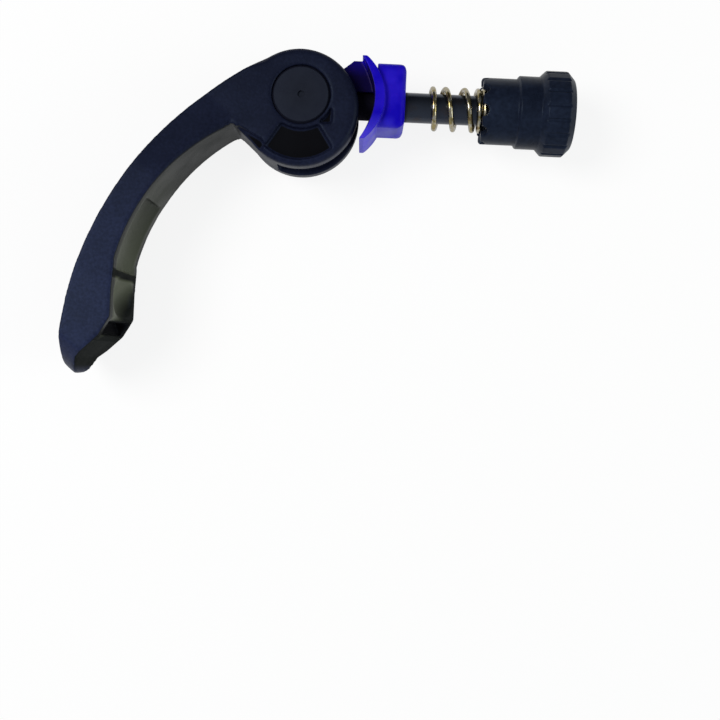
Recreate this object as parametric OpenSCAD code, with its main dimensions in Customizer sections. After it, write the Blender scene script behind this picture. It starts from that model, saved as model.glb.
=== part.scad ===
// Quick release clamp lever. A curved cam lever turns on a barrel pin, the
// barrel is screwed on a threaded rod, a violet saddle takes the cam's thrust,
// and a knob at the rod's far end sets the grip, with a light spring before it.
// The lever lies on its side: Z is the pivot axis, X runs along the rod to the
// knob, and the two cross at the origin. The lever stands open, as at rest.

/* [Rod] */
// Diameter of the plain shank
rod_d = 6; // [5.6:0.1:6.4]
// How much the threaded ends are thinner than the shank
thread_relief = 0.12; // [0.05:0.01:0.3]

/* [Barrel pin] */
// Diameter of the barrel
barrel_d = 11.5; // [10:0.1:12]
// How far the barrel's ends lie below the lever's cheeks
barrel_sink = 0.3; // [0:0.1:1]
// Chamfer of the barrel's ends
barrel_chamfer = 0.4; // [0.1:0.1:0.8]
// Diameter of the turning centre in each end
centre_d = 1.4; // [0.8:0.1:2.5]

/* [Lever head] */
// Radius of the cam
cam_r = 11.7; // [11:0.1:13]
// Distance from the pivot to the cam's centre
cam_throw = 2.5; // [1.5:0.1:3]
// Width over the two cheeks
head_w = 15.6; // [14:0.1:18]
// Rounding of the cam's rims
rim_r = 1.4; // [0.4:0.1:2]
// Width of the fork slot that the rod swings in
slot_w = 7; // [6.8:0.1:8]
// Wall left round the relief pockets in the cheeks
pocket_wall = 1.3; // [0.8:0.1:2]
// Depth of the relief pockets
pocket_depth = 1.1; // [0.4:0.1:2]

/* [Lever arm] */
// Width of the arm below its neck
arm_w = 20.4; // [18:0.1:24]
// Width of the arm at the finger scoop
scoop_w = 23; // [20:0.5:26]
// Width of the arm at its tip
tip_w = 22.5; // [18:0.5:24]
// Radius of the tip's round end, seen from the back
tip_r = 14; // [12.5:0.5:20]
// Radius of the arm's inner side
inner_r = 42.8; // [40:0.1:45]
// Wall at each side of the hollows in the grip
grip_wall = 2.6; // [1.5:0.1:4]
// Depth of the long hollow in the inner side
hollow_depth = 1.4; // [0.6:0.1:1.8]
// Depth of the finger scoop
scoop_depth = 2; // [1:0.1:3]
// Radius of the finger scoop
scoop_r = 6; // [5:0.5:9]
// Bevel of the inner edges next to the head, from where it fades out
bevel = 1.1; // [0.5:0.1:2]

/* [Joint limits] */
// How far the lever turns shut from rest, in degrees
close_angle = 95; // [80:1:98]
// How far it turns further open from rest, in degrees
open_angle = 55; // [20:1:60]
// How far the knob screws in from rest
knob_in = 4; // [1:0.5:4]

/* [Saddle] */
// Height of the flange between its horns
flange_h = 16.4; // [14:0.1:18]
// How much narrower the flange is than the lever's head
flange_trim = 0.1; // [0:0.1:1.5]
// Thickness of the flange at mid height
flange_t = 2.1; // [1.6:0.1:3]
// Radius of the flange's outer side
flange_r = 10.6; // [10:0.1:11]
// Side of the square boss
boss_side = 12.8; // [10:0.1:14]
// How far the boss sits above the rod's axis
boss_rise = 1; // [0:0.1:1.5]
// Clamping face of the boss, from the pivot
boss_face = 20.7; // [19:0.1:22]
// Rounding of the boss
boss_round = 1.6; // [0.5:0.1:2.5]
// Thickness of the guide tongue
tongue_t = 6.4; // [4:0.1:6.4]
// Angle of the tongue's upper edge about the pivot
tongue_angle = 39; // [34:1:42]

/* [Spring] */
// Diameter of the wire
wire_d = 1.05; // [0.8:0.05:1.2]
// Outer diameter of the coil
coil_d = 9; // [8.6:0.1:9.4]
// Pitch of the open turns
open_pitch = 3.85; // [3:0.05:4.5]
// Number of open turns
open_turns = 2.15; // [1.5:0.05:3]
// Closed turns at the free end
free_turns = 0.9; // [0.8:0.05:2]
// Closed turns at the knob
seated_turns = 1.7; // [1:0.05:2]

/* [Knob] */
// Toothed face, from the pivot
knob_face = 36.2; // [35:0.1:37]
// Diameter of the toothed sleeve
sleeve_d = 13.3; // [12.6:0.1:14]
// Length of the toothed sleeve
sleeve_l = 7.2; // [5:0.1:8]
// Diameter of the collar round the nut
collar_d = 14.6; // [14.2:0.1:16]
// Length of the collar
collar_l = 4.6; // [4:0.1:6]
// Diameter of the grip
grip_d = 17.1; // [16:0.1:20]
// Length of the grip
grip_l = 6.6; // [6:0.1:10]
// Number of flats round the grip
grip_flats = 18; // [12:1:24]
// Radius of the grooves between the flats
groove_r = 0.4; // [0.2:0.05:0.6]
// Number of teeth on the sleeve
teeth = 9; // [6:1:12]
// Depth of the notches between the teeth
notch_depth = 1.2; // [0.6:0.1:1.3]
// Diameter of the spring's seat
seat_d = 10; // [9.6:0.1:10.4]
// Depth of the spring's seat
seat_depth = 1.35; // [1:0.05:2]
// Thickness of the grip's end wall
end_wall = 1.3; // [0.8:0.1:1.5]

/* [Nut] */
// Width across the nut's flats
nut_af = 10; // [9:0.1:10.5]
// Thickness of the nut
nut_t = 5; // [4:0.1:5.5]

/* [Clearances] */
// Radial gap of the barrel in the cheeks
barrel_gap = 0.08; // [0.03:0.01:0.1]
// Radial gap of the rod in the saddle
rod_gap = 0.1; // [0.05:0.01:0.1]
// Radial gap at the screw threads
thread_gap = 0.05; // [0.02:0.01:0.1]
// Gap between the shut cam and its seat
seat_gap = 0.3; // [0.2:0.05:0.5]
// Gap where parts turn past each other
turn_gap = 0.35; // [0.2:0.05:0.5]

/* [Hidden] */
$fn = 96;
far = 100;

// Cam: its centre points away from the seat by the angle that the lever turns shut
thread_d = rod_d - thread_relief;
barrel_r = barrel_d / 2;
bore_r = barrel_r + barrel_gap;
cam_c = cam_throw * [cos(close_angle), -sin(close_angle)];

// Arm: the two circles that the back and the inner side follow, and the grip's end
back_c = [27.4, -56.7];
back_dip = 0.06;
inner_c = [7.1, -44];
back_r = norm(cam_c - back_c) + cam_r - back_dip;
back_angle = atan2(cam_c.y - back_c.y, cam_c.x - back_c.x);
blend = cam_c + polar(cam_r - 0.5, back_angle);
head_corner = [-13.6, -6];
root_angle = -142;
bevel_from = 118.3;
bevel_to = 152;
facet_l = 9;
pocket_span = 66;
root_pocket = [[-12.3, -6.6], [-7.2, -9.3], [-6.7, -10.3], [-8.6, -13], [-13, -11]];
grip_top = [-34.5, -34.8];
grip_mid = [-34.8, -40];
grip_knee = [-34.8, -45.6];
bevel_top = [-36.9, -49.4];
bevel_end = [-41.6, -53.9];
tip_inner = [-42.6, -56.9];
tip_outer = [-43.6, -57.3];
tip_side = [-45.4, -54.8];
arm_angle = atan2(tip_outer.y, tip_outer.x);
arm_end = norm(tip_outer) - 0.1;
flare_start = 12;
flare_end = 31;
widest = 54;

// Grip: the hollow ends in a step above the scoop, and a notch follows below it
hollow_end = -36.2;
rib_t = 1.2;
scoop_y = (hollow_end - rib_t + grip_knee.y) / 2;
notch_in = 3.8;

// Saddle: the seat's circle is the shut cam's circle with a gap
seat_r = cam_r + seat_gap;
seat_mid = cam_throw + seat_r;
sweep_r = cam_throw + cam_r + 0.12;
flange_w = head_w - flange_trim;
flange_mid = seat_mid + flange_t;
tongue_low = rod_d / 3;

// Knob: its steps, from the toothed face
collar_x = knob_face + sleeve_l;
grip_x = collar_x + collar_l;
knob_end = grip_x + grip_l;
bore_end = knob_end - end_wall;
bore_d = rod_d + 2 * turn_gap;
nut_x = collar_x + (collar_l - nut_t) / 2;

// Rod: its thread reaches past the nut, and the grip's bore leaves room to screw in
end_play = 0.4;
rod_end = bore_end - knob_in - end_play;
shank_end = nut_x - knob_in - 1.2;

// Spring: the centre line's radius and its two ends
coil_r = (coil_d - wire_d) / 2;
closed_pitch = wire_d + 0.06;
coil_l = (free_turns + seated_turns) * closed_pitch + open_turns * open_pitch;
coil_end = knob_face + seat_depth - wire_d / 2 - 0.05;
coil_start = coil_end - coil_l;
top_turn = 0.4;
rings_per_turn = 18;
wire_sides = 10;

// A point at a radius and an angle in the plane of the lever
function polar(r, a) = r * [cos(a), sin(a)];

// Points of an arc about the origin
function arc(r, a0, a1, n = 24) = [for (i = [0:n]) polar(r, a0 + (a1 - a0) * i / n)];

// A sector with its corner on the pivot
module sector(r, a0, a1) {
    polygon(concat([[0, 0]], arc(r, a0, a1)));
}

// An extrusion that lies evenly about the middle plane
module slab(t) {
    linear_extrude(t, center = true) children();
}

// A revolved profile laid along the rod, its points given as [radius, place along X]
module turned(points) {
    rotate([0, 90, 0]) rotate_extrude() polygon(points);
}

// A straight cylinder along the rod
module rod_cylinder(r, x0, x1) {
    translate([x0, 0, 0]) rotate([0, 90, 0]) cylinder(r = r, h = x1 - x0);
}

module cam_profile(inset = 0) {
    translate(cam_c) circle(r = cam_r - inset);
}

// Crescent between the back and the inner side, ended by the grip's outline
module arm_profile() {
    difference() {
        intersection() {
            translate(back_c) circle(r = back_r, $fn = 240);
            polygon([
                blend, blend + polar(far, back_angle), [-far, tip_side.y], tip_side, tip_outer, tip_inner,
                bevel_end, bevel_top, grip_knee, grip_mid, grip_top, [inner_c.x, grip_top.y], cam_c
            ]);
        }
        difference() {
            translate(inner_c) circle(r = inner_r, $fn = 180);
            translate([-far, -far]) square([2 * far, far + grip_top.y]);
        }
    }
}

// The arm and its root, which runs into the cam
module lever_profile() {
    polygon([head_corner, cam_c + polar(cam_r, root_angle), cam_c, blend]);
    arm_profile();
}

// Outline of the lever seen from its back: even at the head, widest at the scoop, round at the tip
module plan_outline() {
    half = [head_w, arm_w, scoop_w, tip_w] / 2;
    intersection() {
        polygon([
            [-far, -half[0]], [flare_start, -half[0]], [flare_end, -half[1]], [widest, -half[2]],
            [arm_end, -half[3]], [arm_end, half[3]], [widest, half[2]], [flare_end, half[1]],
            [flare_start, half[0]], [-far, half[0]]
        ]);
        translate([arm_end - tip_r, 0]) {
            circle(r = tip_r);
            translate([-2 * far, -far]) square([2 * far, 2 * far]);
        }
    }
}

module side_limits() {
    rotate([0, 0, arm_angle]) rotate([90, 0, 0]) linear_extrude(2 * far, center = true) plan_outline();
}

// The cam as a turned disc with rounded rims
module cam_disc() {
    h = head_w / 2;
    translate(cam_c) rotate_extrude() {
        translate([0, -h]) square([cam_r - rim_r, head_w]);
        translate([0, -h + rim_r]) square([cam_r, head_w - 2 * rim_r]);
        for (s = [-1, 1]) translate([cam_r - rim_r, s * (h - rim_r)]) circle(r = rim_r);
    }
}

// Facets that lead the arm's back edges into the cam's round rims
module back_facets() {
    rise = atan2(rim_r, facet_l * sqrt(2));
    for (s = [0, 1]) mirror([0, 0, s]) translate([cam_c.x, cam_c.y, head_w / 2]) rotate([0, 0, back_angle - 90])
        translate([0, cam_r - rim_r - back_dip, 0]) rotate([-45, 0, 0]) rotate([0, rise, 0])
            translate([-2 * facet_l, -facet_l, 0]) cube(3 * facet_l);
}

module lever_arm() {
    difference() {
        intersection() {
            slab(scoop_w + 1) lever_profile();
            side_limits();
        }
        back_facets();
    }
}

// Room for the rod over the lever's whole swing, and for the saddle's tongue
module fork_slot() {
    half = rod_d / 2 + turn_gap;
    slab(slot_w) {
        sector(2 * cam_r, -close_angle, open_angle + tongue_angle + 3);
        rotate(-close_angle) translate([0, -half]) square([2 * cam_r, 2 * half]);
    }
}

// Relief pockets in both cheeks: a fan below the pin, a small corner beside it and one along the root's edge
module cheek_pockets() {
    ring = barrel_r + 1;
    for (s = [-1, 1]) translate([0, 0, s * head_w / 2]) slab(2 * pocket_depth) {
        difference() {
            intersection() {
                cam_profile(pocket_wall);
                sector(2 * cam_r, -90 - pocket_span / 2, -90 + pocket_span / 2);
            }
            circle(r = ring);
        }
        difference() {
            translate([0, -ring + 1.2]) square([ring - 0.4, 4]);
            circle(r = ring - 0.4);
        }
        polygon(root_pocket);
    }
}

// A ring of round section, whose outer side cuts a shallow hollow
module hollow_ring(outer, section) {
    rotate_extrude($fn = 180) translate([outer - section, 0]) circle(r = section);
}

// Radius of a round section that is so deep where it is so wide
function section_r(width, depth) = (pow(width / 2, 2) / depth + depth) / 2;

// Long hollow in the inner side, curved across its width
module arm_hollow() {
    a0 = atan2(-21.5 - inner_c.y, -30 - inner_c.x);
    a1 = atan2(hollow_end - inner_c.y, -sqrt(pow(inner_r, 2) - pow(hollow_end - inner_c.y, 2)));
    translate(inner_c) intersection() {
        hollow_ring(inner_r + hollow_depth, section_r(arm_w - 2 * grip_wall, hollow_depth));
        slab(2 * arm_w) polygon([[0, 0], polar(far, a0), polar(far, a1)]);
    }
}

// Finger scoop below the hollow, a dish, and the notch that follows it
module finger_scoop() {
    width = scoop_w - 2 * grip_wall;
    across = section_r(width, scoop_depth);
    translate([grip_mid.x - scoop_depth + across, scoop_y, 0]) rotate([90, 0, 0])
        hollow_ring(across, scoop_r);
    slab(width) polygon([
        [grip_knee.x + 2, grip_knee.y - 0.7], [grip_knee.x - notch_in, grip_knee.y - 0.9],
        [bevel_top.x - 0.6, bevel_top.y + 0.1], [bevel_top.x + 2, bevel_top.y + 1]
    ]);
}

// Bevel along both inner edges, widest at the head: it lies on the flared sides
module edge_bevels() {
    flare = atan2((arm_w - head_w) / 2, flare_end - flare_start);
    start = polar(flare_start, arm_angle);
    c = inner_c + polar(bevel / sin(bevel_to - bevel_from), bevel_to - 90);
    corner = inner_c + polar(inner_r, bevel_from) - c;
    for (s = [0, 1]) mirror([0, 0, s]) translate([start.x, start.y, head_w / 2])
        rotate([0, 0, arm_angle]) rotate([0, -flare, 0]) rotate([0, 0, -arm_angle])
            translate(c - start) rotate([0, 0, atan2(corner.y, corner.x)])
                rotate_extrude(angle = bevel_to - bevel_from, $fn = 180)
                    polygon([[inner_r - 1, 1], [inner_r - 1, -1], [inner_r + 1, 1]]);
}

module lever() {
    color("#17181b") difference() {
        union() {
            cam_disc();
            lever_arm();
        }
        cylinder(r = bore_r, h = 2 * head_w, center = true);
        fork_slot();
        cheek_pockets();
        arm_hollow();
        finger_scoop();
        edge_bevels();
    }
}

module pivot_barrel() {
    h = head_w / 2 - barrel_sink;
    c = barrel_chamfer;
    color("#202226") difference() {
        rotate_extrude() polygon([
            [0, -h], [barrel_r - c, -h], [barrel_r, -h + c],
            [barrel_r, h - c], [barrel_r - c, h], [0, h]
        ]);
        rod_cylinder(thread_d / 2 + thread_gap, -far, far);
        for (s = [-1, 1]) translate([0, 0, s * h]) cylinder(d = centre_d, h = 0.8, center = true);
    }
}

// The rod starts inside the barrel and ends inside the knob
module rod() {
    c = 0.7;
    t = thread_d / 2;
    start = -barrel_r + 0.9;
    shank_start = barrel_r + 1.5;
    color("#2b2d31") turned([
        [0, start], [t - c, start], [t, start + c], [t, shank_start], [rod_d / 2, shank_start],
        [rod_d / 2, shank_end], [t, shank_end], [t, rod_end - c], [t - c, rod_end], [0, rod_end]
    ]);
}

// Section of the saddle's flange: a crescent cut off at its horns
module flange_profile() {
    intersection() {
        difference() {
            translate([flange_mid - flange_r, 0]) circle(r = flange_r);
            translate([cam_throw, 0]) circle(r = seat_r);
            circle(r = sweep_r);
        }
        translate([cam_throw, -flange_h / 2]) square([far, flange_h]);
    }
}

// A square with round corners
module round_square(side, r) {
    square([side - 2 * r, side], center = true);
    square([side, side - 2 * r], center = true);
    for (x = [-1, 1], y = [-1, 1]) translate([x, y] * (side / 2 - r)) circle(r = r);
}

// A square with round corners on the side towards the knob
module end_outline() {
    r = boss_round;
    translate([0, -boss_side / 2]) square([boss_side - r, boss_side]);
    translate([0, -boss_side / 2 + r]) square([boss_side, boss_side - 2 * r]);
    for (s = [-1, 1]) translate([boss_side - r, s * (boss_side / 2 - r)]) circle(r = r);
}

// Boss with round edges all over, which starts inside the flange
module saddle_boss() {
    start = seat_mid + 0.4;
    translate([0, boss_rise, 0]) intersection() {
        translate([start, 0, 0]) rotate([0, 90, 0])
            linear_extrude(boss_face - start) round_square(boss_side, boss_round);
        translate([boss_face - boss_side, 0, 0]) slab(boss_side) end_outline();
        translate([boss_face - boss_side, 0, 0]) rotate([90, 0, 0]) slab(boss_side) end_outline();
    }
}

// Tongue above the rod that runs in the lever's fork slot
module guide_tongue() {
    slab(tongue_t) difference() {
        intersection() {
            sector(seat_mid + flange_t / 2, 0, tongue_angle);
            translate([0, tongue_low]) square([far, flange_h / 2 - tongue_low]);
            translate([flange_mid - flange_r, 0]) circle(r = flange_r);
        }
        circle(r = bore_r + turn_gap);
    }
}

module saddle() {
    color("#3d1fc4") difference() {
        union() {
            slab(flange_w) flange_profile();
            saddle_boss();
            guide_tongue();
        }
        rod_cylinder(rod_d / 2 + rod_gap, 0, far);
    }
}

// Place along X after a number of turns: closed, then open, then closed again
function coil_x(u) =
    coil_start + closed_pitch * min(u, free_turns)
    + open_pitch * min(max(u - free_turns, 0), open_turns)
    + closed_pitch * max(u - free_turns - open_turns, 0);

// One ring of the wire, square to the coil's centre line at its middle
function wire_ring(u) =
    let (a = 360 * (u - top_turn), rise = atan2(coil_x(u + 0.05) - coil_x(u - 0.05), 0.2 * PI * coil_r))
    [for (i = [0:wire_sides - 1])
        let (
            b = 360 * i / wire_sides,
            out = wire_d / 2 * cos(b),
            side = wire_d / 2 * sin(b)
        )
        [
            coil_x(u) + side * cos(rise),
            (coil_r + out) * cos(a) + side * sin(rise) * sin(a),
            (coil_r + out) * sin(a) - side * sin(rise) * cos(a)
        ]
    ];

module spring() {
    turns = free_turns + open_turns + seated_turns;
    rings = ceil(turns * rings_per_turn);
    n = wire_sides;
    points = [for (k = [0:rings]) each wire_ring(turns * k / rings)];
    sides = [for (k = [0:rings - 1], i = [0:n - 1])
        [k * n + i, (k + 1) * n + i, (k + 1) * n + (i + 1) % n, k * n + (i + 1) % n]];
    first = [for (i = [0:n - 1]) i];
    last = [for (i = [n - 1:-1:0]) rings * n + i];
    color("#b8a878") polyhedron(points, concat([first, last], sides));
}

// Sleeve and collar, with small bevels at their edges
module knob_barrel() {
    s = sleeve_d / 2;
    c = collar_d / 2;
    e = 0.3;
    turned([
        [0, knob_face], [s - e, knob_face], [s, knob_face + e], [s, collar_x], [c - e, collar_x],
        [c, collar_x + e], [c, grip_x + e], [0, grip_x + e]
    ]);
}

// Grip: a many sided prism with a groove at each corner, bevelled at both ends
module knob_grip() {
    g = grip_d / 2;
    corner_r = g / cos(180 / grip_flats) - 0.05;
    step = 360 / grip_flats;
    intersection() {
        translate([grip_x, 0, 0]) rotate([0, 90, 0]) linear_extrude(grip_l) difference() {
            polygon([for (i = [0:grip_flats - 1]) polar(corner_r, i * step)]);
            for (i = [0:grip_flats - 1]) translate(polar(corner_r, i * step)) circle(r = groove_r, $fn = 16);
        }
        turned([
            [0, grip_x], [g - 1, grip_x], [g + 0.1, grip_x + 1.1],
            [g + 0.1, knob_end - 1.5], [g - 1.5, knob_end], [0, knob_end]
        ]);
    }
}

module knob() {
    color("#1b1c1f") difference() {
        union() {
            knob_barrel();
            knob_grip();
        }
        rod_cylinder(bore_d / 2, knob_face - 1, bore_end);
        rod_cylinder(seat_d / 2, knob_face - 1, knob_face + seat_depth);
        nut_shape(0);
        for (i = [0:teeth - 1]) rotate([360 * (i + 0.25) / teeth, 0, 0])
            translate([knob_face, 0, seat_d / 2 - 0.6]) cylinder(r = notch_depth, h = sleeve_d / 2, $fn = 36);
    }
}

// Six sided nut: a circle with six sides is taken as that polygon
module nut_shape(inset) {
    translate([nut_x + inset, 0, 0]) rotate([0, 90, 0])
        cylinder(d = nut_af / cos(30) - 2 * inset, h = nut_t - 2 * inset, $fn = 6);
}

module knob_nut() {
    color("#c9a94e") difference() {
        nut_shape(0.02);
        rod_cylinder(thread_d / 2 + thread_gap, 0, far);
    }
}

lever();
pivot_barrel();
rod();
saddle();
spring();
knob();
knob_nut();
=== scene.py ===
import math

import bmesh
import bpy
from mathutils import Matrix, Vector


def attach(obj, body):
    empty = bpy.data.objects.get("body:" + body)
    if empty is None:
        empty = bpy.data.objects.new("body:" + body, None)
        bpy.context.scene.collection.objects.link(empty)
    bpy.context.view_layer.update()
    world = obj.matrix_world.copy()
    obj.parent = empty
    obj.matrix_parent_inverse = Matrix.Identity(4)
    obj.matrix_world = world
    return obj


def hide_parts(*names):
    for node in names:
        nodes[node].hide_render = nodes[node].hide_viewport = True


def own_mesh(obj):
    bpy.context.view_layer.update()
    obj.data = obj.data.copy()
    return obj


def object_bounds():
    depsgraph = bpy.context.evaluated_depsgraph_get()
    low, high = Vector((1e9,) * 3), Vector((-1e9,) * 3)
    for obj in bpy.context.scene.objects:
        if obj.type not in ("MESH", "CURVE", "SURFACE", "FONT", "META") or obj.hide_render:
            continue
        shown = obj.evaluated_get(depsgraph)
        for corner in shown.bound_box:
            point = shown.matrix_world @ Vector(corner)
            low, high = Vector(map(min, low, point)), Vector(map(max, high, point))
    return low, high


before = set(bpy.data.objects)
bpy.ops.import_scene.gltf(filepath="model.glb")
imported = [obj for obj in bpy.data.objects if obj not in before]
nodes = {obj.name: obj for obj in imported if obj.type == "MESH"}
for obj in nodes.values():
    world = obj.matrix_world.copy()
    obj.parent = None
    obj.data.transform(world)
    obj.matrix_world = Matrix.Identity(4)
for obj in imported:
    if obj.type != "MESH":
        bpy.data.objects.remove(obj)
scene = bpy.context.scene
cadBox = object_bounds()
mm = 0.001
print("frame loaded:", ", ".join(sorted(nodes)))


class Wire:  # one output of a node, with arithmetic that adds Math nodes
    def __init__(self, graph, socket):
        self.graph, self.socket = graph, socket

    def math(self, operation, left, right):
        return self.graph.node("ShaderNodeMath", {"operation": operation}, {0: left, 1: right})

    def __add__(self, other):
        return self.math("ADD", self, other)

    def __sub__(self, other):
        return self.math("SUBTRACT", self, other)

    def __rsub__(self, other):
        return self.math("SUBTRACT", other, self)

    def __mul__(self, other):
        return self.math("MULTIPLY", self, other)

    def __truediv__(self, other):
        return self.math("DIVIDE", self, other)

    def __abs__(self):
        return self.math("ABSOLUTE", self, 0.0)

    __radd__ = __add__
    __rmul__ = __mul__


class Graph:  # a node tree built from Python
    def __init__(self, tree):
        self.tree = tree

    def node(self, kind, settings=None, sockets=None, output=0):
        made = self.tree.nodes.new(kind)
        for name, value in (settings or {}).items():
            if name == "stops":
                for i, (place, color) in enumerate(value):
                    stop = made.color_ramp.elements[i] if i < 2 else made.color_ramp.elements.new(place)
                    stop.position, stop.color = place, (*color, 1)
            else:
                setattr(made, name, value)
        for name, value in (sockets or {}).items():
            if isinstance(value, Wire):
                self.tree.links.new(value.socket, made.inputs[name])
            else:
                made.inputs[name].default_value = value
        return Wire(self, made.outputs[output])

    def noise(self, place, size, detail=2.0, roughness=0.5):
        return self.node("ShaderNodeTexNoise", {"noise_dimensions": "3D"},
                         {"Vector": place, "Scale": 1 / size, "Detail": detail, "Roughness": roughness})

    def spread(self, value, low, high, start=0.0, end=1.0):  # value from low to high, taken to start to end
        return self.node("ShaderNodeMapRange", {"clamp": True},
                         {"Value": value, "From Min": low, "From Max": high, "To Min": start, "To Max": end})

    def above(self, value, edge, soft):  # 1 above the edge, fading out below it
        return self.spread(value, edge - soft, edge)

    def below(self, value, edge, soft):
        return self.spread(value, edge + soft, edge)

    def band(self, value, low, high, soft):
        return self.above(value, low, soft) * self.below(value, high, soft)

    def mixed(self, mask, first, second):  # two colours, each a wire or a plain triple
        ends = [end if isinstance(end, Wire) else (*end, 1) for end in (first, second)]
        return self.node("ShaderNodeMix", {"data_type": "RGBA"}, {0: mask, 6: ends[0], 7: ends[1]}, 2)


class Finish(Graph):  # a material whose pattern is laid in object space
    def __init__(self, name, color, **constants):
        self.material = bpy.data.materials.new(name)
        self.material.use_nodes = True
        super().__init__(self.material.node_tree)
        self.shader = self.tree.nodes["Principled BSDF"]
        self.shader.inputs["Base Color"].default_value = (*color, 1)
        self.material.diffuse_color = (*color, 1)
        for socket, value in constants.items():
            self.shader.inputs[socket].default_value = value
        self.place = self.node("ShaderNodeTexCoord", output="Object")

    def feed(self, socket, wire):
        self.tree.links.new(wire.socket, self.shader.inputs[socket])

    def bump(self, height, depth):  # depth is in metres
        bumped = self.node("ShaderNodeBump", {}, {"Strength": 1.0, "Distance": depth, "Height": height})
        self.feed("Normal", bumped)

    def along(self, axis):  # one of the place's three coordinates
        return self.node("ShaderNodeSeparateXYZ", {}, {0: self.place}, axis)

    def reach(self, middle):  # distance from a line along Z
        across = self.node("ShaderNodeVectorMath", {"operation": "SUBTRACT"}, {0: self.place, 1: middle})
        flat = self.node("ShaderNodeVectorMath", {"operation": "MULTIPLY"}, {0: across, 1: (1, 1, 0)})
        return self.node("ShaderNodeVectorMath", {"operation": "LENGTH"}, {0: flat}, "Value")


leverFinish = {
    "color": (0.0096, 0.0126, 0.0325),
    "paleColor": (0.017, 0.0225, 0.057),
    "sheenTint": (0.6, 0.78, 1.0),
    "coarseGrain": 0.55 * mm,
    "fineGrain": 0.22 * mm,
    "grainDepth": 0.028 * mm,
    "patchSize": 9 * mm,
    "roughness": (0.36, 0.5),
    "gloss": 0.075,
}

leverPaintedLight = {
    # painted shade: the head is darker than the arm
    "headShadeColor": (0.0018, 0.0018, 0.0054),
    "headShadeFade": (-8 * mm, -34 * mm),  # heights, along Y, where the head's painted shade starts to go and is gone
    "gripShadeColor": (0.0045, 0.0052, 0.004),  # painted shade on the inner side and on the tip's underside
    "gripStart": -14 * mm,  # along X
    "innerMiddle": (7.1 * mm, -44 * mm, 0.0),  # middle of the arm's inner curve
    "innerRadius": 45.2 * mm,  # just past the hollow's floor
    "noseRadius": 50.5 * mm,  # just past the notch and the tip's underside
    "noseStart": -46.2 * mm,
    # painted reflection, olive, in the grip's hollow and finger scoop
    "reflectionColor": (0.078, 0.084, 0.058),
    "reflectionHalf": 7.6 * mm,  # half of the width of the painted reflection
    "hollowFade": (-14 * mm, -37 * mm),
    "hollowEnd": -36.1 * mm,
    "scoopStart": -37.9 * mm,
    "scoopEnd": -41 * mm,
    "ribHeights": (-37.7 * mm, -36.4 * mm),
    "dullFade": (-42 * mm, -46 * mm),
    "notchHeights": (-48.9 * mm, -46.5 * mm),
    "notchHalf": 10.5 * mm,
    "pocketShadeColor": (0.0026, 0.0022, 0.0028),  # painted shade on the floors of the head's pockets and of the notch
    "pocketLevels": (6.5 * mm, 7.0 * mm),  # along the pin, from the middle
    "headCorner": (-13 * mm, -15 * mm),  # the pockets lie above and right of it
}


def paintLeverLight(made, at, tone, rough):
    # painted light: painted shade makes the head darker than the arm and darkens the grip's inner side, the
    # tip's underside and the pocket and notch floors; a painted olive reflection lies in the grip's hollow
    # and finger scoop
    x, y, z = [made.along(axis) for axis in range(3)]
    facing = made.node("ShaderNodeSeparateXYZ", {}, {0: made.node("ShaderNodeTexCoord", output="Normal")}, 2)
    upright = facing * facing
    edgewise = made.spread(upright, 0.35, 0.1)
    fromMiddle = made.reach(at["innerMiddle"])
    nose = made.below(fromMiddle, at["noseRadius"], 1 * mm)
    inner = edgewise * made.below(fromMiddle, at["innerRadius"], 0.4 * mm)
    under = edgewise * nose * made.below(y, at["noseStart"], 0.6 * mm)
    slant = y + z * 0.5

    # painted shade: the head darker than the arm, fading out down the arm
    tone = made.mixed(made.spread(y, *at["headShadeFade"], 0.6, 0), tone, at["headShadeColor"])
    # painted shade on the grip's inner side and the tip's underside
    tone = made.mixed((inner + under) * made.below(x, at["gripStart"], 4 * mm), tone, at["gripShadeColor"])
    # painted olive reflection in the grip's hollow and its finger scoop
    hollowReflection = made.spread(y, *at["hollowFade"], 0, 0.85) * made.above(y, at["hollowEnd"], 0.4 * mm)
    scoopReflection = made.below(y, at["scoopStart"], 0.5 * mm) * made.above(slant, at["scoopEnd"], 6 * mm)
    paintedReflection = inner * made.below(abs(z), at["reflectionHalf"], 1.8 * mm) * (hollowReflection + scoopReflection)
    tone = made.mixed(paintedReflection, tone, at["reflectionColor"])

    # painted shade on the floors of the notch and of the head's pockets, which are also rougher
    notch = made.band(y, *at["notchHeights"], 0.4 * mm) * made.below(abs(z), at["notchHalf"], 0.3 * mm) * nose
    left, low = at["headCorner"]
    inHead = made.above(x, left, 1 * mm) * made.above(y, low, 1 * mm)
    pocket = made.spread(upright, 0.8, 0.95) * made.band(abs(z), *at["pocketLevels"], 0.3 * mm) * inHead
    tone = made.mixed(pocket + notch, tone, at["pocketShadeColor"])
    rib = made.band(y, *at["ribHeights"], 0.4 * mm)
    dull = inner * rib + (inner + under) * made.spread(slant, *at["dullFade"])
    return tone, rough + pocket * 0.4 + dull * 0.45


def grainyBlack(name, look, tones=None):
    made = Finish(name, look["color"], **{
        "Specular IOR Level": look["gloss"], "Specular Tint": (*look["sheenTint"], 1)})
    coarse = made.noise(made.place, look["coarseGrain"], 2)
    fine = made.noise(made.place, look["fineGrain"], 2)
    patches = made.noise(made.place, look["patchSize"], 3)
    made.bump(coarse * 0.65 + fine * 0.35, look["grainDepth"])
    rough = made.spread(patches + (fine - 0.5) * 0.5, 0.3, 0.7, *look["roughness"])
    worn = made.spread(coarse * 0.5 + patches * 0.5, 0.42, 0.66)
    tone = made.mixed(worn, look["color"], look["paleColor"])
    if tones:
        tone, rough = paintLeverLight(made, tones, tone, rough)
    made.feed("Roughness", rough)
    made.feed("Base Color", tone)
    return made.material


leverPlastic = grainyBlack("grainy black nylon", leverFinish, leverPaintedLight)

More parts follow.
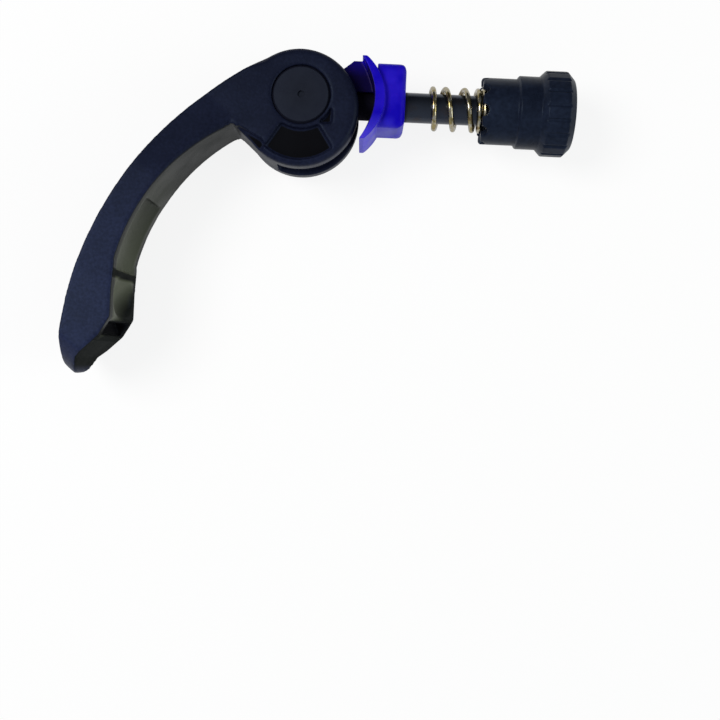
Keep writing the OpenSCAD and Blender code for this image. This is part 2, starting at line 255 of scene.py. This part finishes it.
knobFinish = {
    "color": (0.0058, 0.0084, 0.0178),
    "paleColor": (0.0104, 0.0152, 0.031),
    "sheenTint": (0.62, 0.8, 1.0),
    "coarseGrain": 0.8 * mm,
    "fineGrain": 0.2 * mm,
    "grainDepth": 0.009 * mm,
    "patchSize": 6 * mm,
    "roughness": (0.27, 0.4),
    "gloss": 0.08,
}
knobPlastic = grainyBlack("satin black nylon", knobFinish)

pinFinish = {
    "color": (0.0058, 0.0062, 0.0118),
    "rimColor": (0.0072, 0.008, 0.0152),
    "rimFade": (1.4 * mm, 4.6 * mm),  # radii
    "sheenTint": (0.62, 0.78, 1.0),
    "ringPitch": 0.21 * mm,  # turning marks on the pin's ends
    "ringDepth": 0.004 * mm,
    "roughness": (0.34, 0.48),
}


def turnedBlack(look):
    made = Finish("black pin steel", look["color"], **{
        "Specular IOR Level": 0.16, "Specular Tint": (*look["sheenTint"], 1)})
    radius = made.reach((0, 0, 0))
    smear = made.noise(made.place, 2.5 * mm, 2)
    turned = radius * (2 * math.pi / look["ringPitch"]) + smear * 3
    rings = made.node("ShaderNodeMath", {"operation": "SINE"}, {0: turned})
    speck = made.noise(made.place, 0.3 * mm, 2)
    made.bump(rings * 0.4 + speck * 0.9, look["ringDepth"])
    made.feed("Roughness", made.spread(smear + rings * 0.05, 0.3, 0.7, *look["roughness"]))
    rim = made.spread(radius, *look["rimFade"])
    made.feed("Base Color", made.mixed(rim, look["color"], look["rimColor"]))
    return made.material


pinSteel = turnedBlack(pinFinish)

rodFinish = {
    "color": (0.03, 0.036, 0.05),
    "stainColor": (0.034, 0.031, 0.036),
    "drawLine": 0.12 * mm,  # width of the drawing lines along the rod
    "lineDepth": 0.004 * mm,
    "roughness": (0.16, 0.3),
    # painted shade on the rod inside the saddle
    "insideShadeColor": (0.004, 0.003, 0.012),
    "shadeAndDullEnd": 20.5 * mm,  # inside the saddle the rod gets painted shade, black, and is duller
}


def blackOxide(look):
    made = Finish("black oxide steel", look["color"], **{"Metallic": 0.85})
    along = made.node("ShaderNodeMapping", {}, {"Vector": made.place, "Scale": (0.03, 1, 1)})
    lines = made.noise(along, look["drawLine"], 3, 0.6)
    cloud = made.noise(made.place, 3.5 * mm, 4, 0.6)
    stain = made.spread(cloud, 0.52, 0.68)
    made.bump(lines, look["lineDepth"])
    inside = made.below(made.along(0), look["shadeAndDullEnd"], 1 * mm)
    drawn = made.spread(lines * 0.5 + cloud * 0.5, 0.35, 0.65, *look["roughness"])
    made.feed("Roughness", drawn + inside * 0.5)
    bright = made.mixed(stain, look["color"], look["stainColor"])
    # painted shade on the rod inside the saddle
    made.feed("Base Color", made.mixed(inside, bright, look["insideShadeColor"]))
    return made.material


rodSteel = blackOxide(rodFinish)

saddleFinish = {
    "color": (0.006, 0.0018, 0.38),
    "paleColor": (0.032, 0.014, 0.58),
    # painted shade in the seat, where the head shadows it
    "seatShadeColor": (0.0025, 0.0012, 0.035),
    "seatMiddle": (2.5 * mm, 0.0, 0.0),  # middle of the seat's curve
    "seatRadius": 12.1 * mm,  # just past the seat
    "seatShadeFade": (13 * mm, 5 * mm),  # heights where the painted shade starts and is full
    "footHighlightColor": (0.1, 0.075, 0.72),  # painted highlight: the flange's lower horn is paler
    "footHighlightFade": (-3 * mm, -11 * mm),
    "flangeEnd": 18 * mm,
    "sheenTint": (0.55, 0.4, 1.0),
    "flowSize": 5 * mm,
    "grain": 0.3 * mm,
    "grainDepth": 0.007 * mm,
    "roughness": (0.3, 0.42),
}


def violetNylon(look):
    made = Finish("violet nylon", look["color"], **{
        "Specular IOR Level": 0.09, "Specular Tint": (*look["sheenTint"], 1),
        "Subsurface Weight": 0.12, "Subsurface Scale": 0.001})
    flow = made.noise(made.place, look["flowSize"], 3, 0.55)
    grain = made.noise(made.place, look["grain"], 2)
    made.bump(grain * 0.8 + flow * 0.6, look["grainDepth"])
    made.feed("Roughness", made.spread(flow, 0.35, 0.65, *look["roughness"]))
    tone = made.mixed(made.spread(flow, 0.4, 0.72, 0, 0.5), look["color"], look["paleColor"])
    x, y = made.along(0), made.along(1)
    # painted highlight on the flange's lower horn
    foot = made.spread(y, *look["footHighlightFade"], 0, 0.8) * made.below(x, look["flangeEnd"], 1 * mm)
    seat = made.below(made.reach(look["seatMiddle"]), look["seatRadius"], 0.15 * mm)
    tone = made.mixed(foot, tone, look["footHighlightColor"])
    # painted shade in the seat's curve
    tone = made.mixed(seat * made.spread(y, *look["seatShadeFade"], 0.25, 1), tone, look["seatShadeColor"])
    made.feed("Base Color", tone)
    return made.material


violetPlastic = violetNylon(saddleFinish)

zincFinish = {
    "silver": (0.38, 0.35, 0.29),
    "gold": (0.26, 0.21, 0.08),
    "rose": (0.13, 0.07, 0.055),
    "patchSize": 1.6 * mm,
    "scuffSize": 0.16 * mm,
    "scuffDepth": 0.003 * mm,
    "roughness": (0.12, 0.26),
}


def passivatedZinc(name, look):
    made = Finish(name, look["silver"], **{"Metallic": 1.0})
    drift = made.noise(made.place, look["patchSize"], 3, 0.55)
    stops = [(0.3, look["rose"]), (0.72, look["gold"]), (0.44, look["gold"]), (0.56, look["silver"])]
    film = made.node("ShaderNodeValToRGB", {"stops": stops}, {"Fac": drift})
    scuff = made.noise(made.place, look["scuffSize"], 3, 0.6)
    made.bump(scuff, look["scuffDepth"])
    made.feed("Base Color", film)
    made.feed("Roughness", made.spread(scuff, 0.3, 0.7, *look["roughness"]))
    return made.material


springZinc = passivatedZinc("yellow zinc wire", zincFinish)
nutZinc = passivatedZinc("yellow zinc nut", {**zincFinish, "patchSize": 3 * mm, "roughness": (0.25, 0.4)})
print("finishes made")


def baked(piece, name):  # the evaluated piece as a plain mesh with nothing live on it
    shape = bpy.data.meshes.new_from_object(piece.evaluated_get(bpy.context.evaluated_depsgraph_get()))
    made = bpy.data.objects.new(name, shape)
    scene.collection.objects.link(made)
    bpy.data.objects.remove(piece)
    return made


def closedCopy(node, name, material):  # the node's shape with its loose triangles joined
    shape = nodes[node].data.copy()
    b = bmesh.new()
    b.from_mesh(shape)
    bmesh.ops.remove_doubles(b, verts=b.verts, dist=0.004 * mm)  # finer than any real edge
    bmesh.ops.dissolve_limit(b, angle_limit=math.radians(0.4), verts=b.verts, edges=b.edges)
    b.to_mesh(shape)
    b.free()
    shape.materials.clear()
    shape.materials.append(material)
    draft = bpy.data.objects.new(name + "Draft", shape)
    scene.collection.objects.link(draft)
    return draft


def moulded(node, name, look, material):
    # every edge melts a little, as on a moulding: fine even faces, then smoothing
    draft = closedCopy(node, name, material)
    even = draft.modifiers.new("even faces", "REMESH")
    even.mode, even.voxel_size, even.use_smooth_shade = "VOXEL", look["faceSize"], True
    melt = draft.modifiers.new("soft edges", "SMOOTH")
    melt.factor, melt.iterations = 0.5, look["melt"]
    piece = baked(draft, name)
    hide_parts(node)
    return piece


leverMould = {
    "faceSize": 0.285 * mm,
    "melt": 6,  # rounds of smoothing
}
lever = moulded("lever", "camLever", leverMould, leverPlastic)
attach(lever, "lever_body")
print("lever:", len(lever.data.polygons), "faces")

saddleMould = {
    "faceSize": 0.16 * mm,
    "melt": 4,
}
saddle = moulded("saddle", "camSaddle", saddleMould, violetPlastic)
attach(saddle, "saddle_body")
print("saddle:", len(saddle.data.polygons), "faces")

knobMould = {
    "faceSize": 0.17 * mm,
    "melt": 2,
}
knob = moulded("knob", "adjustingKnob", knobMould, knobPlastic)
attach(knob, "knob_body")
print("knob:", len(knob.data.polygons), "faces")

springSizes = {
    "Wire Diameter": 1.05 * mm,
    "Coil Diameter": 9 * mm,
    "Start": 25.978 * mm,  # place of the free end along the rod
    "Free Turns": 0.75,
    "Open Turns": 2.15,
    "Seated Turns": 1.7,
    "Open Pitch": 3.85 * mm,
    "Closed Pitch": 1.11 * mm,
    "Top Turn": 0.25,  # how far along the first turn the wire crosses its top
    "Rings": 250,
    "Sides": 18,
}


def springTree(sizes, material):
    tree = bpy.data.node_groups.new("coiled wire", "GeometryNodeTree")
    for name, value in sizes.items():
        kind = "NodeSocketInt" if isinstance(value, int) else "NodeSocketFloat"
        tree.interface.new_socket(name, in_out="INPUT", socket_type=kind).default_value = value
    tree.interface.new_socket("Geometry", in_out="OUTPUT", socket_type="NodeSocketGeometry")
    g = Graph(tree)
    entry = tree.nodes.new("NodeGroupInput")
    size = {name: Wire(g, entry.outputs[name]) for name in sizes}
    turns = size["Free Turns"] + size["Open Turns"] + size["Seated Turns"]
    index = g.node("GeometryNodeInputIndex")
    u = index * turns / size["Rings"]
    low = g.node("ShaderNodeMath", {"operation": "MINIMUM"}, {0: u, 1: size["Free Turns"]})
    past = g.node("ShaderNodeMath", {"operation": "MAXIMUM"}, {0: u - size["Free Turns"], 1: 0.0})
    middle = g.node("ShaderNodeMath", {"operation": "MINIMUM"}, {0: past, 1: size["Open Turns"]})
    along = size["Start"] + size["Closed Pitch"] * (low + past - middle) + size["Open Pitch"] * middle
    angle = (u - size["Top Turn"]) * (2 * math.pi)
    radius = (size["Coil Diameter"] - size["Wire Diameter"]) / 2
    y = g.node("ShaderNodeMath", {"operation": "COSINE"}, {0: angle}) * radius
    z = g.node("ShaderNodeMath", {"operation": "SINE"}, {0: angle}) * radius
    place = g.node("ShaderNodeCombineXYZ", {}, {"X": along, "Y": y, "Z": z})
    count = size["Rings"] + 1
    line = g.node("GeometryNodeMeshLine", {"mode": "OFFSET"}, {"Count": count, "Offset": (0.1 * mm, 0, 0)})
    bent = g.node("GeometryNodeSetPosition", {}, {"Geometry": line, "Position": place})
    path = g.node("GeometryNodeMeshToCurve", {}, {"Mesh": bent})
    ring = g.node("GeometryNodeCurvePrimitiveCircle", {"mode": "RADIUS"},
                  {"Resolution": size["Sides"], "Radius": size["Wire Diameter"] / 2})
    wire = g.node("GeometryNodeCurveToMesh", {}, {"Curve": path, "Profile Curve": ring, "Fill Caps": True})
    smooth = g.node("GeometryNodeSetShadeSmooth", {}, {"Geometry": wire})
    real = g.node("GeometryNodeRealizeInstances", {}, {"Geometry": smooth})
    coated = g.node("GeometryNodeSetMaterial", {}, {"Geometry": real, "Material": material})
    leave = tree.nodes.new("NodeGroupOutput")
    tree.links.new(coated.socket, leave.inputs["Geometry"])
    return tree


def grown(name, tree, sizes):  # a piece made by a tree, with the inputs set by their identifiers
    holder = bpy.data.objects.new(name + "Draft", bpy.data.meshes.new(name + "Draft"))
    scene.collection.objects.link(holder)
    modifier = holder.modifiers.new("made", "NODES")
    modifier.node_group = tree
    for item in tree.interface.items_tree:
        if item.in_out == "INPUT" and item.name in sizes:
            modifier[item.identifier] = sizes[item.name]
    return baked(holder, name)


spring = grown("lightSpring", springTree(springSizes, springZinc), springSizes)
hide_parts("spring")
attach(spring, "spring_body")
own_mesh(spring)
print("spring:", len(spring.data.polygons), "faces")

for name, material in {"pivot_barrel": pinSteel, "rod": rodSteel, "knob_nut": nutZinc}.items():
    nodes[name].data.materials.clear()
    nodes[name].data.materials.append(material)
print("pin, rod and nut finished")

studio = {
    "floorColor": (0.9, 0.9, 0.9),
    "floorReach": 4.0,
    "sky": (0.86, 0.92, 1.0),
    "skyLevels": (0.66, 0.1),  # below and above the object in the picture
    "keyPower": 2.6,
    "keySize": 0.3,
    "keyPlace": (-0.32, 0.05, 0.5),
    "fillPower": 1.4,
    "fillSize": 0.4,
    "fillPlace": (0.54, -0.08, 0.2),
    "lampTarget": (0, -0.02, 0),
    "floorGlow": 0.86,  # how much of the floor's white is its own
    "mirroredGlow": 0.5,  # the same, as glossy pieces show it
}
floorMesh = bpy.data.meshes.new("floor")
reach, level = studio["floorReach"], cadBox[0].z - 0.05 * mm
corners = [(-reach, -reach, level), (reach, -reach, level), (reach, reach, level), (-reach, reach, level)]
floorMesh.from_pydata(corners, [], [(0, 1, 2, 3)])
floor = bpy.data.objects.new("floor", floorMesh)
scene.collection.objects.link(floor)
floorFinish = Finish("pale floor", studio["floorColor"], Roughness=0.9, **{"Specular IOR Level": 0.1})
rays = floorFinish.node("ShaderNodeLightPath", output="Is Camera Ray")
mirrored = floorFinish.node("ShaderNodeLightPath", output="Is Glossy Ray")
through = floorFinish.node("ShaderNodeLightPath", output="Is Transmission Ray")
glow = floorFinish.node("ShaderNodeEmission", {}, {"Color": (1, 1, 1, 1), "Strength": 1.0})
plain = Wire(floorFinish, floorFinish.shader.outputs[0])
whitened = floorFinish.node("ShaderNodeMixShader", {}, {
    0: (rays + through) * studio["floorGlow"] + mirrored * studio["mirroredGlow"], 1: plain, 2: glow})
leave = floorFinish.tree.nodes["Material Output"]
floorFinish.tree.links.new(whitened.socket, leave.inputs["Surface"])
floorMesh.materials.append(floorFinish.material)

world = bpy.data.worlds.new("studio")
world.use_nodes = True
scene.world = world
tent = Graph(world.node_tree)
ahead = tent.node("ShaderNodeTexCoord", output="Generated")
upright = tent.node("ShaderNodeSeparateXYZ", {}, {0: ahead}, 1)
seen = tent.node("ShaderNodeLightPath", output="Is Camera Ray")
backdrop = world.node_tree.nodes["Background"]
color = tent.mixed(seen, studio["sky"], (1, 1, 1))
strength = tent.spread(upright, -0.9, 0.9, *studio["skyLevels"]) * (1 - seen) + seen
world.node_tree.links.new(color.socket, backdrop.inputs["Color"])
world.node_tree.links.new(strength.socket, backdrop.inputs["Strength"])


def softLamp(name, place, size, power, color=(1, 1, 1)):
    lamp = bpy.data.lights.new(name, "AREA")
    lamp.shape, lamp.size, lamp.energy, lamp.color = "DISK", size, power, color
    made = bpy.data.objects.new(name, lamp)
    made.location = place
    made.rotation_euler = (Vector(studio["lampTarget"]) - Vector(place)).to_track_quat("-Z", "Y").to_euler()
    scene.collection.objects.link(made)


softLamp("key", studio["keyPlace"], studio["keySize"], studio["keyPower"], (1, 0.98, 0.95))
softLamp("fill", studio["fillPlace"], studio["fillSize"], studio["fillPower"], (0.96, 1, 0.86))

view = {
    "place": (0.01404, -0.05186, 0.222),
    "roll": 2.65,  # degrees, how far the rod slopes in the picture
    "lens": 54.4,
    "sensor": 36.0,
    "clip": (0.01, 20),
}
eye = bpy.data.cameras.new("eye")
eye.lens, eye.sensor_width = view["lens"], view["sensor"]
eye.clip_start, eye.clip_end = view["clip"]
camera = bpy.data.objects.new("eye", eye)
camera.location = view["place"]
camera.rotation_euler = (0, 0, math.radians(view["roll"]))
scene.collection.objects.link(camera)
scene.camera = camera
scene.view_settings.view_transform = "Standard"
print("studio and camera set")
